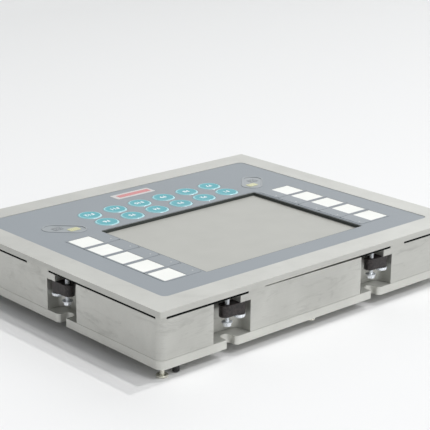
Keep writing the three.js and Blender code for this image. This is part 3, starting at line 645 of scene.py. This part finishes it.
# ---------- side keys and their labels ----------
for name in SIDE_KEYS:
    low, high = span(name)
    side = 1 if "right" in name else -1
    y = (low.y + high.y) / 2
    tile = prism(rounded(CELL_W, CELL_H, CELL_R, side * CELL_X, y), SIDE_KEY_BOTTOM, high.z)
    stem = circle(SIDE_STEM_R, side * SIDE_STEM_X, y, SMALL_ROUND)
    add(tile, prism(stem, low.z, SIDE_KEY_BOTTOM + STEM_ROOT))
    view = rounded(LABEL_W + 2 * GAP, LABEL_H + 2 * GAP, LABEL_R + GAP, side * LABEL_X, y)
    cut(tile, prism(view, SIDE_KEY_BOTTOM - CUT, high.z + CUT))
    soften(tile, 0.75, 4)
    # painted glint: the clear LED lens dot is painted pale grey to show the light it catches
    dot = lathe([(0, high.z - 0.3), (DOT_R, high.z - 0.3), (DOT_R, high.z - 0.02),
                 (0.8 * DOT_R, high.z + 0.02), (0.5 * DOT_R, high.z + 0.05), (0, high.z + 0.06)],
                n=20, cx=side * DOT_X, cy=y + DOT_UP)
    smooth(dot)
    paint(dot, NAME_LOOK)
    paint(tile, SIDE_KEY_LOOK)
    join(tile, [dot])
    finish_piece(tile, None, "side_key", name)

for side_name, side in (("left", -1), ("right", 1)):
    node = "label_strip_" + side_name
    low, high = span(node)
    strip = prism(rect(low.x, low.y, high.x, high.y), low.z, low.z + LABEL_BASE_T)
    for i in range(1, CELL_COUNT + 1):
        middle = centre(f"side_key_{side_name}_{i}")
        field = rounded(LABEL_W, LABEL_H, LABEL_R, side * LABEL_X, middle.y, 4)
        add(strip, prism(field, low.z, high.z))
    soften(strip, 0.12, 2)
    finish_piece(strip, LABEL_LOOK, "label_card", node)

# ---------- inserts and name plate ----------
for side_name, side in (("left", -1), ("right", 1)):
    node = "indicator_" + side_name
    low, high = span(node)
    insert = prism(insert_outline(side, 0), low.z, high.z)
    cut(insert, prism(insert_outline(side, -IND_RIM), high.z - IND_DISH, high.z + CUT))
    soften(insert, 0.55, 4)
    paint(insert, INDICATOR_LOOK)
    lens_x, lens_y = side * (IND_X - LENS_SHIFT), IND_Y + LENS_SHIFT
    lens_outline = rounded(LENS_W, LENS_H, LENS_R, lens_x, lens_y)
    lens = prism(lens_outline, low.z + 0.5, high.z - 0.2)
    soften(lens, 0.3, 3)
    paint(lens, YELLOW_LOOK)
    pane_x, pane_y = side * (IND_X + PANE_SHIFT), IND_Y - PANE_SHIFT
    pane_outline = rounded(PANE_W, PANE_H, PANE_R, pane_x, pane_y)
    pane = prism(pane_outline, high.z - 0.9, high.z - 0.4)
    soften(pane, 0.1, 2)
    paint(pane, WINDOW_LOOK)
    join(insert, [lens, pane])
    finish_piece(insert, None, "indicator", node)

low, high = span("name_plate")
name_plate = prism(rounded(NAME_W, NAME_H, NAME_R, 0, NAME_Y), low.z, high.z)
soften(name_plate, 0.15, 2)
paint(name_plate, NAME_LOOK)
bar = prism(rounded(BAR_W, BAR_H, BAR_R, BAR_X, NAME_Y), high.z - 0.2, high.z + 0.04)
paint(bar, RED_LOOK)
join(name_plate, [bar])
finish_piece(name_plate, None, "name_plate", "name_plate")

# ---------- function keys ----------
LEGEND_SIZE = 9.0


def legend(text, x, y, z):
    """Flat raised lettering centred on x, y."""
    curve = bpy.data.curves.new("legend", "FONT")
    curve.body = text
    curve.size = LEGEND_SIZE * MM
    curve.align_x = "CENTER"
    curve.align_y = "CENTER"
    curve.extrude = 0.08 * MM
    curve.offset = 0.22 * MM
    obj = bpy.data.objects.new("legend", curve)
    bpy.context.scene.collection.objects.link(obj)
    dg = bpy.context.evaluated_depsgraph_get()
    mesh = bpy.data.meshes.new_from_object(obj.evaluated_get(dg), depsgraph=dg)
    bpy.data.objects.remove(obj)
    mesh.transform(Matrix.Translation(Vector((x, y, z)) * MM))
    mesh.materials.clear()
    mesh.materials.append(LEGEND_LOOK)
    made = bpy.data.objects.new("legend", mesh)
    bpy.context.scene.collection.objects.link(made)
    return made


# the domed rim of a key: radius, and how far below its highest ring
KEY_DOME = ((15, 0.85), (14.93, 0.72), (14.7, 0.52), (14.2, 0.24), (13.6, 0.04), (13.1, 0),
            (12.4, 0.08), (11.6, 0.17), (10, 0.24), (5, 0.27), (0, 0.28))
RIM_FROM = 12.7  # faces further out than this get the rim's paler teal, partly print and partly painted highlight
for number, name in enumerate(KEYS, 1):
    low, high = span(name)
    middle = centre(name)
    top = high.z
    profile = [(0, low.z), (KEY_STEM_R - 0.3, low.z), (KEY_STEM_R, low.z + 0.3),
               (KEY_STEM_R, KEY_BOTTOM), (KEY_R - 0.2, KEY_BOTTOM), (KEY_R, KEY_BOTTOM + 0.2)]
    profile += [(r, top - down) for r, down in KEY_DOME]
    cap = lathe(profile, cx=middle.x, cy=middle.y, n=64)
    smooth(cap, 40)
    paint(cap, KEY_LOOK)
    cap.data.materials.append(KEY_RIM_PRINT_AND_HIGHLIGHT_LOOK)
    for face in cap.data.polygons:
        out = (face.center / MM - middle).to_2d().length
        if out > RIM_FROM:
            face.material_index = 1
    join(cap, [legend(f"F{number}", middle.x, middle.y - 1.5, top - 0.24)])
    finish_piece(cap, None, "function_key", name)

# ---------- housing frame ----------
bulge = rect(-POCKET_BACK, WALL / 2, POCKET_L + POCKET_BACK, POCKET_D + POCKET_BACK)
housing = prism(rounded(HOUSE_W, HOUSE_H, HOUSE_R), SEAM_Z, HOUSE_TOP)
inner = rounded(HOUSE_W - 2 * WALL, HOUSE_H - 2 * WALL, INNER_R)
cut(housing, prism(inner, SEAM_Z - CUT, HOUSE_TOP + CUT))


def ring(inset):
    return rounded(HOUSE_W - 2 * inset, HOUSE_H - 2 * inset, HOUSE_R - inset)


def along_x(wall):
    return wall in ("top", "bottom")


def corner_squares(size):
    """The four corner squares of the housing's outline."""
    return [rect(min(sx * WALL_X, sx * (WALL_X - size)), min(sy * WALL_Y, sy * (WALL_Y - size)),
                 max(sx * WALL_X, sx * (WALL_X - size)), max(sy * WALL_Y, sy * (WALL_Y - size)))
            for sx in (-1, 1) for sy in (-1, 1)]


def land_start(wall, start):
    return start + LAND_TO - (LAND_SHORT if along_x(wall) else LAND_LONG)


def in_band(block):
    """The part of a block that lies in the strip along the walls."""
    band = prism(ring(0), HOUSE_TOP - CUT, LAND_TOP)
    cut(band, prism(ring(LAND_DEPTH), HOUSE_TOP - 2 * CUT, LAND_TOP + CUT))
    return keep(block, band)


for _, wall, start in CLAMPS:
    add(housing, prism(on_wall(wall, start, bulge), SEAM_Z, HOUSE_TOP))
lands = corner_squares(CORNER_LAND)
for _, wall, start in CLAMPS:
    lands.append(on_wall(wall, 0, rect(land_start(wall, start), 0, start + LAND_TO, LAND_DEPTH)))
for land in lands:
    add(housing, in_band(prism(land, HOUSE_TOP - CUT, LAND_TOP)))
for _, wall, start in CLAMPS:
    # between two pockets the wall's top falls away from the land in a long slope
    high = land_start(wall, start)
    ends = [s + POCKET_L for _, w, s in CLAMPS if w == wall and s < start - 1]
    if not ends:
        continue
    low = ends[0]
    slope = prism(on_wall(wall, 0, rect(low, 0, high, LAND_DEPTH)), HOUSE_TOP - CUT, LAND_TOP)
    for vertex in slope.data.vertices:
        if vertex.co.z / MM > HOUSE_TOP:
            share = (vertex.co.x / MM - low) / (high - low)
            vertex.co.z = (HOUSE_TOP + share * (LAND_TOP - SLOPE_DROP - HOUSE_TOP)) * MM
    add(housing, in_band(slope))
for _, wall, start in CLAMPS:
    pocket = on_wall(wall, start, pocket_outline())
    bridge = on_wall(wall, start, rect(-CUT, -2 * CUT, BRIDGE_L, POCKET_D + CUT))
    cut(housing, prism(pocket, SEAM_Z - CUT, BRIDGE_BOTTOM))
    upper = prism(pocket, BRIDGE_BOTTOM - CUT, LAND_TOP + CUT)
    cut(upper, prism(bridge, BRIDGE_BOTTOM - 2 * CUT, LAND_TOP + 2 * CUT))
    cut(housing, upper)
    px, py = ON_WALL[wall](start + PIVOT_U, PIVOT_D)
    pivot_bore = circle(PIVOT_BORE_R, px, py, SMALL_ROUND)
    cut(housing, prism(pivot_bore, BRIDGE_BOTTOM - CUT, BRIDGE_BOTTOM + PIVOT_BORE_DEPTH))
soften(housing, 0.3, 2)
finish_piece(housing, FRAME_LOOK, "frame_aluminium", "housing_frame")

# ---------- rear plate ----------
rear = prism(rounded(HOUSE_W, HOUSE_H, HOUSE_R), REAR_BOTTOM, REAR_TOP)
pan = prism(inner, REAR_BOTTOM + REAR_FLOOR, REAR_TOP + CUT)
for pad in corner_squares(CORNER_PAD):
    cut(pan, prism(pad, 0, REAR_TOP + 2 * CUT))
for _, wall, start in CLAMPS:
    cut(pan, prism(on_wall(wall, start, bulge), 0, REAR_TOP + 2 * CUT))
cut(rear, pan)
for _, wall, start in CLAMPS:
    cut(rear, prism(on_wall(wall, start, notch_outline()), REAR_BOTTOM - CUT, REAR_TOP + CUT))
FEET = sorted(n for n in frame["nodes"] if n.startswith("foot_screw_"))
for name in (*FEET, "rear_screw_top", "power_socket"):
    hole_r = SOCKET_HOLE_R if name == "power_socket" else SCREW_HOLE_R
    middle = centre(name)
    hole = circle(hole_r, middle.x, middle.y, SMALL_ROUND)
    cut(rear, prism(hole, REAR_BOTTOM - CUT, REAR_TOP + CUT))
soften(rear, 0.5, 3)
finish_piece(rear, REAR_LOOK, "frame_aluminium", "rear_plate")


# ---------- screws ----------
def threaded_rod(r, z0, z1, pitch, cx, cy, depth=0.24, n=20):
    """A closed rod with a real helical thread that runs out smooth at both ends."""
    rows = int((z1 - z0) / pitch * 6)
    verts, faces = [], []
    for k in range(rows + 1):
        z = z0 + (z1 - z0) * k / rows
        fade = min(1.0, k / 6, (rows - k) / 6)
        for i in range(n):
            phase = (z / pitch - i / n) % 1.0
            tooth = abs(2 * phase - 1)
            radius = r - depth * fade * tooth
            a = i / n * math.tau
            verts.append((cx + radius * math.cos(a), cy + radius * math.sin(a), z))
    for k in range(rows):
        for i in range(n):
            j = (i + 1) % n
            faces.append((k * n + i, k * n + j, (k + 1) * n + j, (k + 1) * n + i))
    faces.append(tuple(range(n - 1, -1, -1)))
    faces.append(tuple(rows * n + i for i in range(n)))
    return new_object("rod", verts, faces)


def hex_outline(r, cx, cy):
    return circle(r, cx, cy, 6)


def pivot_screw(node):
    """Domed head below the lever, hexagon socket, plain shank."""
    low, high = span(node)
    middle = centre(node)
    head_top = low.z + 4.6
    profile = [(0, low.z), (3.8, low.z), (4.8, low.z + 0.2), (5.8, low.z + 0.8),
               (6.4, low.z + 1.5), (6.75, low.z + 2.3), (6.9, low.z + 3.1),
               (6.9, head_top - 0.3), (6.6, head_top), (PIVOT_R, head_top),
               (PIVOT_R, high.z - 0.5), (PIVOT_R - 0.5, high.z), (0, high.z)]
    pivot = lathe(profile, cx=middle.x, cy=middle.y, n=40)
    cut(pivot, prism(hex_outline(2.6, middle.x, middle.y), low.z - CUT, low.z + 2.6))
    smooth(pivot, 40)
    finish_piece(pivot, ZINC_LOOK, "zinc_steel", node)


def clamp_screw(node):
    """Chamfered hexagon head, flange, threaded shank with a plain tip."""
    low, high = span(node)
    middle = centre(node)
    base = low.z + 4
    head = prism(hex_outline(4.6, middle.x, middle.y), low.z, base + 0.3)
    keep(head, lathe([(0, low.z - 0.01), (3.9, low.z), (4.7, low.z + 0.55), (4.7, base + 0.5),
                      (0, base + 0.5)], cx=middle.x, cy=middle.y, n=40))
    soften(head, 0.12, 2, 20)
    flange = lathe([(0, base), (5.8, base), (6.0, base + 0.2), (6.0, base + 0.7),
                    (5.5, base + 1.0), (3.4, base + 1.2), (0, base + 1.2)],
                   cx=middle.x, cy=middle.y, n=40)
    smooth(flange, 40)
    rod = threaded_rod(BOLT_R, base + 0.5, high.z - 0.4, 0.8, middle.x, middle.y)
    smooth(rod, 70)
    tip = lathe([(0, high.z - 1.2), (1.9, high.z - 1.2), (1.9, high.z - 0.5), (1.4, high.z),
                 (0, high.z)], cx=middle.x, cy=middle.y, n=20)
    smooth(tip, 40)
    for part in (head, flange, rod, tip):
        paint(part, ZINC_LOOK)
    join(head, [flange, rod, tip])
    finish_piece(head, None, "zinc_steel", node)


def clamp_lever(node, wall, start):
    """A cast bar with full round ends and a boss under its pivot end."""
    low, high = span(node)
    outline = []
    tip_u = REACH + LEVER_TIP - LEVER_HALF
    for end_u, turn in ((PIVOT_U, math.pi / 2), (PIVOT_U + tip_u, -math.pi / 2)):
        for i in range(2 * ARC + 1):
            a = turn + i / ARC * math.pi / 2
            outline.append((end_u + LEVER_HALF * math.cos(a), PIVOT_D + LEVER_HALF * math.sin(a)))
    lever = prism(on_wall(wall, start, outline), low.z + LEVER_BOSS_T, high.z)
    px, py = ON_WALL[wall](start + PIVOT_U, PIVOT_D)
    bx, by = ON_WALL[wall](start + PIVOT_U + REACH, PIVOT_D)
    boss = circle(LEVER_HALF, px, py, 4 * ARC)
    add(lever, prism(boss, low.z, low.z + LEVER_BOSS_T + CUT))
    cut(lever, prism(circle(PIVOT_BORE_R, px, py, 32), low.z - CUT, high.z + CUT))
    cut(lever, prism(circle(BOLT_BORE_R, bx, by, 32), low.z - CUT, high.z + CUT))
    soften(lever, 0.6, 3)
    finish_piece(lever, LEVER_LOOK, "lever_black", node)


def crowned_screw(node, head_r, head_t):
    """A screw that hangs head down, with a hexagon socket in its crown."""
    low, high = span(node)
    middle = centre(node)
    head = low.z + head_t
    shank_r = 2.6
    profile = [(0, low.z), (head_r - 1.1, low.z), (head_r - 0.5, low.z + 0.2),
               (head_r - 0.1, low.z + 0.6), (head_r, low.z + 1.0), (head_r, head - 0.2),
               (head_r - 0.2, head), (shank_r, head), (shank_r, high.z - 0.4),
               (shank_r - 0.4, high.z), (0, high.z)]
    screw = lathe(profile, cx=middle.x, cy=middle.y, n=40)
    cut(screw, prism(hex_outline(2.0, middle.x, middle.y), low.z - CUT, low.z + 1.6))
    smooth(screw, 40)
    finish_piece(screw, NICKEL_LOOK, "zinc_steel", node)


for name, wall, start in CLAMPS:
    pivot_screw("pivot_screw_" + name)
    clamp_screw("clamp_screw_" + name)
    clamp_lever("clamp_lever_" + name, wall, start)
for name in FEET:
    crowned_screw(name, 6.5, 2.6)
crowned_screw("rear_screw_top", 5.2, 3.4)

# ---------- power socket ----------
low, high = span("power_socket")
middle = centre("power_socket")
socket_r, bore_r = 3.9, 3.05
socket = lathe([(0, low.z), (socket_r - 0.5, low.z), (socket_r - 0.15, low.z + 0.15),
                (socket_r, low.z + 0.5), (socket_r, low.z + 2.2), (socket_r - 0.35, low.z + 2.5),
                (socket_r - 0.35, low.z + 3.2), (socket_r, low.z + 3.5),
                (socket_r, high.z - 0.4), (socket_r - 0.4, high.z), (0, high.z)],
               cx=middle.x, cy=middle.y, n=40)
bore = lathe([(0, low.z - CUT), (bore_r + 0.6, low.z - CUT), (bore_r + 0.5, low.z),
              (bore_r, low.z + 0.5), (bore_r, high.z - 3), (0, high.z - 3)],
             cx=middle.x, cy=middle.y, n=40)
cut(socket, bore)
pin = lathe([(0, low.z + 4), (0.7, low.z + 4.1), (1.0, low.z + 4.6), (1.0, high.z - 2.5),
             (0, high.z - 2.5)], cx=middle.x, cy=middle.y, n=16)
smooth(socket, 40)
paint(socket, SOCKET_LOOK)
smooth(pin, 40)
paint(pin, ZINC_LOOK)
join(socket, [pin])
finish_piece(socket, None, "socket_plastic", "power_socket")

# ---------- pieces that stay as they are in the frame ----------
KEPT = {
    "front_gasket": SEAL_LOOK,
    "lcd_module": METAL_LOOK,
    "keypad_board": BOARD_LOOK,
}
for name, look in KEPT.items():
    node = frame["nodes"][name]
    for slot in node.material_slots:
        slot.material = look

# ---------- floor, light and camera ----------
SKY = 0.06
# each glow: towards, where it starts and is full (cosines), how bright
GLOWS = (
    ((-0.643, -0.705, 0.30), 0.85, 0.99, 1.0),
    ((-0.35, 0.90, 0.25), 0.2, 0.9, 0.07),
    ((-0.78, -0.25, 0.50), 0.85, 0.97, 1.1),
    ((0.90, 0.10, 0.25), 0.2, 0.9, 0.27),
    ((-0.10, 0.75, 0.65), 0.7, 0.97, 1.05),
)
# each lamp: how far its light comes from sideways per step up, power, spread in degrees
LAMPS = (
    ("high_lamp", -0.094, -0.055, 0.10, 2),
    ("middle_lamp", -0.27, 0.15, 0.76, 2),
    ("low_lamp", -0.51, 0.01, 0.66, 2),
    ("front_lamp", -0.10, 0.80, 0.60, 6),
    ("right_lamp", -0.35, 0.85, 0.22, 6),
)
# the floor's tone in front and behind the panel, darker behind as painted shade for light falling off
# towards the back, and how many metres it takes to get there
FLOOR_NEAR, FLOOR_FAR_SHADE, FLOOR_FADE = (0.84, 0.84, 0.84), (0.68, 0.683, 0.68), 1.8
floor = new_object("floor", [(-30000, -30000, 0), (30000, -30000, 0), (30000, 30000, 0),
                             (-30000, 30000, 0)], [(0, 1, 2, 3)])
floor_look = Look("paper_floor", FLOOR_NEAR, 0.7)
floor_look.set("Specular IOR Level", 0.2)
place = floor_look.node("ShaderNodeSeparateXYZ")
floor_look.link(floor_look.coords, place.inputs["Vector"])
# painted shade: the floor's colour darkens from front to back
painted_falloff = floor_look.span(place.outputs["Y"], 0.0, -FLOOR_FADE, 0.0, 1.0)
floor_look.color(floor_look.mix(painted_falloff, FLOOR_NEAR, FLOOR_FAR_SHADE))
floor.data.materials.append(floor_look.material)

world = bpy.data.worlds.new("studio")
world.use_nodes = True
sky = world.node_tree
background = sky.nodes["Background"]
toward = sky.nodes.new("ShaderNodeTexCoord")
strength = sky.nodes.new("ShaderNodeValue")
strength.outputs[0].default_value = SKY
brightness = strength.outputs[0]
for glow_toward, glow_from, glow_to, extra in GLOWS:
    facing = sky.nodes.new("ShaderNodeVectorMath")
    facing.operation = "DOT_PRODUCT"
    facing.inputs[1].default_value = Vector(glow_toward).normalized()
    sky.links.new(toward.outputs["Generated"], facing.inputs[0])
    glow = sky.nodes.new("ShaderNodeMapRange")
    glow.interpolation_type = "SMOOTHSTEP"
    for key, number in zip(("From Min", "From Max", "To Max"), (glow_from, glow_to, extra)):
        glow.inputs[key].default_value = number
    sky.links.new(facing.outputs["Value"], glow.inputs["Value"])
    total = sky.nodes.new("ShaderNodeMath")
    sky.links.new(brightness, total.inputs[0])
    sky.links.new(glow.outputs["Result"], total.inputs[1])
    brightness = total.outputs[0]
background.inputs["Color"].default_value = (0.97, 0.985, 1.0, 1.0)
sky.links.new(brightness, background.inputs["Strength"])
bpy.context.scene.world = world


def sun(name, slope_x, slope_y, power, spread):
    """A lamp whose light falls from slope_x, slope_y sideways for each step up."""
    data = bpy.data.lights.new(name, "SUN")
    data.energy = power
    data.angle = math.radians(spread)
    light = bpy.data.objects.new(name, data)
    light.rotation_mode = "QUATERNION"
    light.rotation_quaternion = Vector((-slope_x, -slope_y, -1)).to_track_quat("-Z", "Y")
    bpy.context.scene.collection.objects.link(light)


for lamp in LAMPS:
    sun(*lamp)

CAMERA_PLACE = Vector((1.06235, 1.17562, 0.58107))
CAMERA_AZIMUTH, CAMERA_ELEVATION, CAMERA_ROLL = (
    math.radians(a) for a in (137.593, 17.432, 0.603))
SENSOR = 36.0
FOCAL = 115.26
back = Vector((math.sin(CAMERA_AZIMUTH) * math.cos(CAMERA_ELEVATION),
               -math.cos(CAMERA_AZIMUTH) * math.cos(CAMERA_ELEVATION),
               math.sin(CAMERA_ELEVATION)))
level_right = Vector((0, 0, 1)).cross(back).normalized()
level_up = back.cross(level_right)
right = math.cos(CAMERA_ROLL) * level_right + math.sin(CAMERA_ROLL) * level_up
up = back.cross(right)
camera_data = bpy.data.cameras.new("camera")
camera_data.sensor_width = SENSOR
camera_data.lens = FOCAL
camera_data.clip_start, camera_data.clip_end = 0.05, 100
camera = bpy.data.objects.new("camera", camera_data)
turn = Matrix((right, up, back)).transposed()
camera.matrix_world = Matrix.Translation(CAMERA_PLACE) @ turn.to_4x4()
bpy.context.scene.collection.objects.link(camera)
bpy.context.scene.camera = camera
bpy.context.scene.view_settings.view_transform = "Standard"
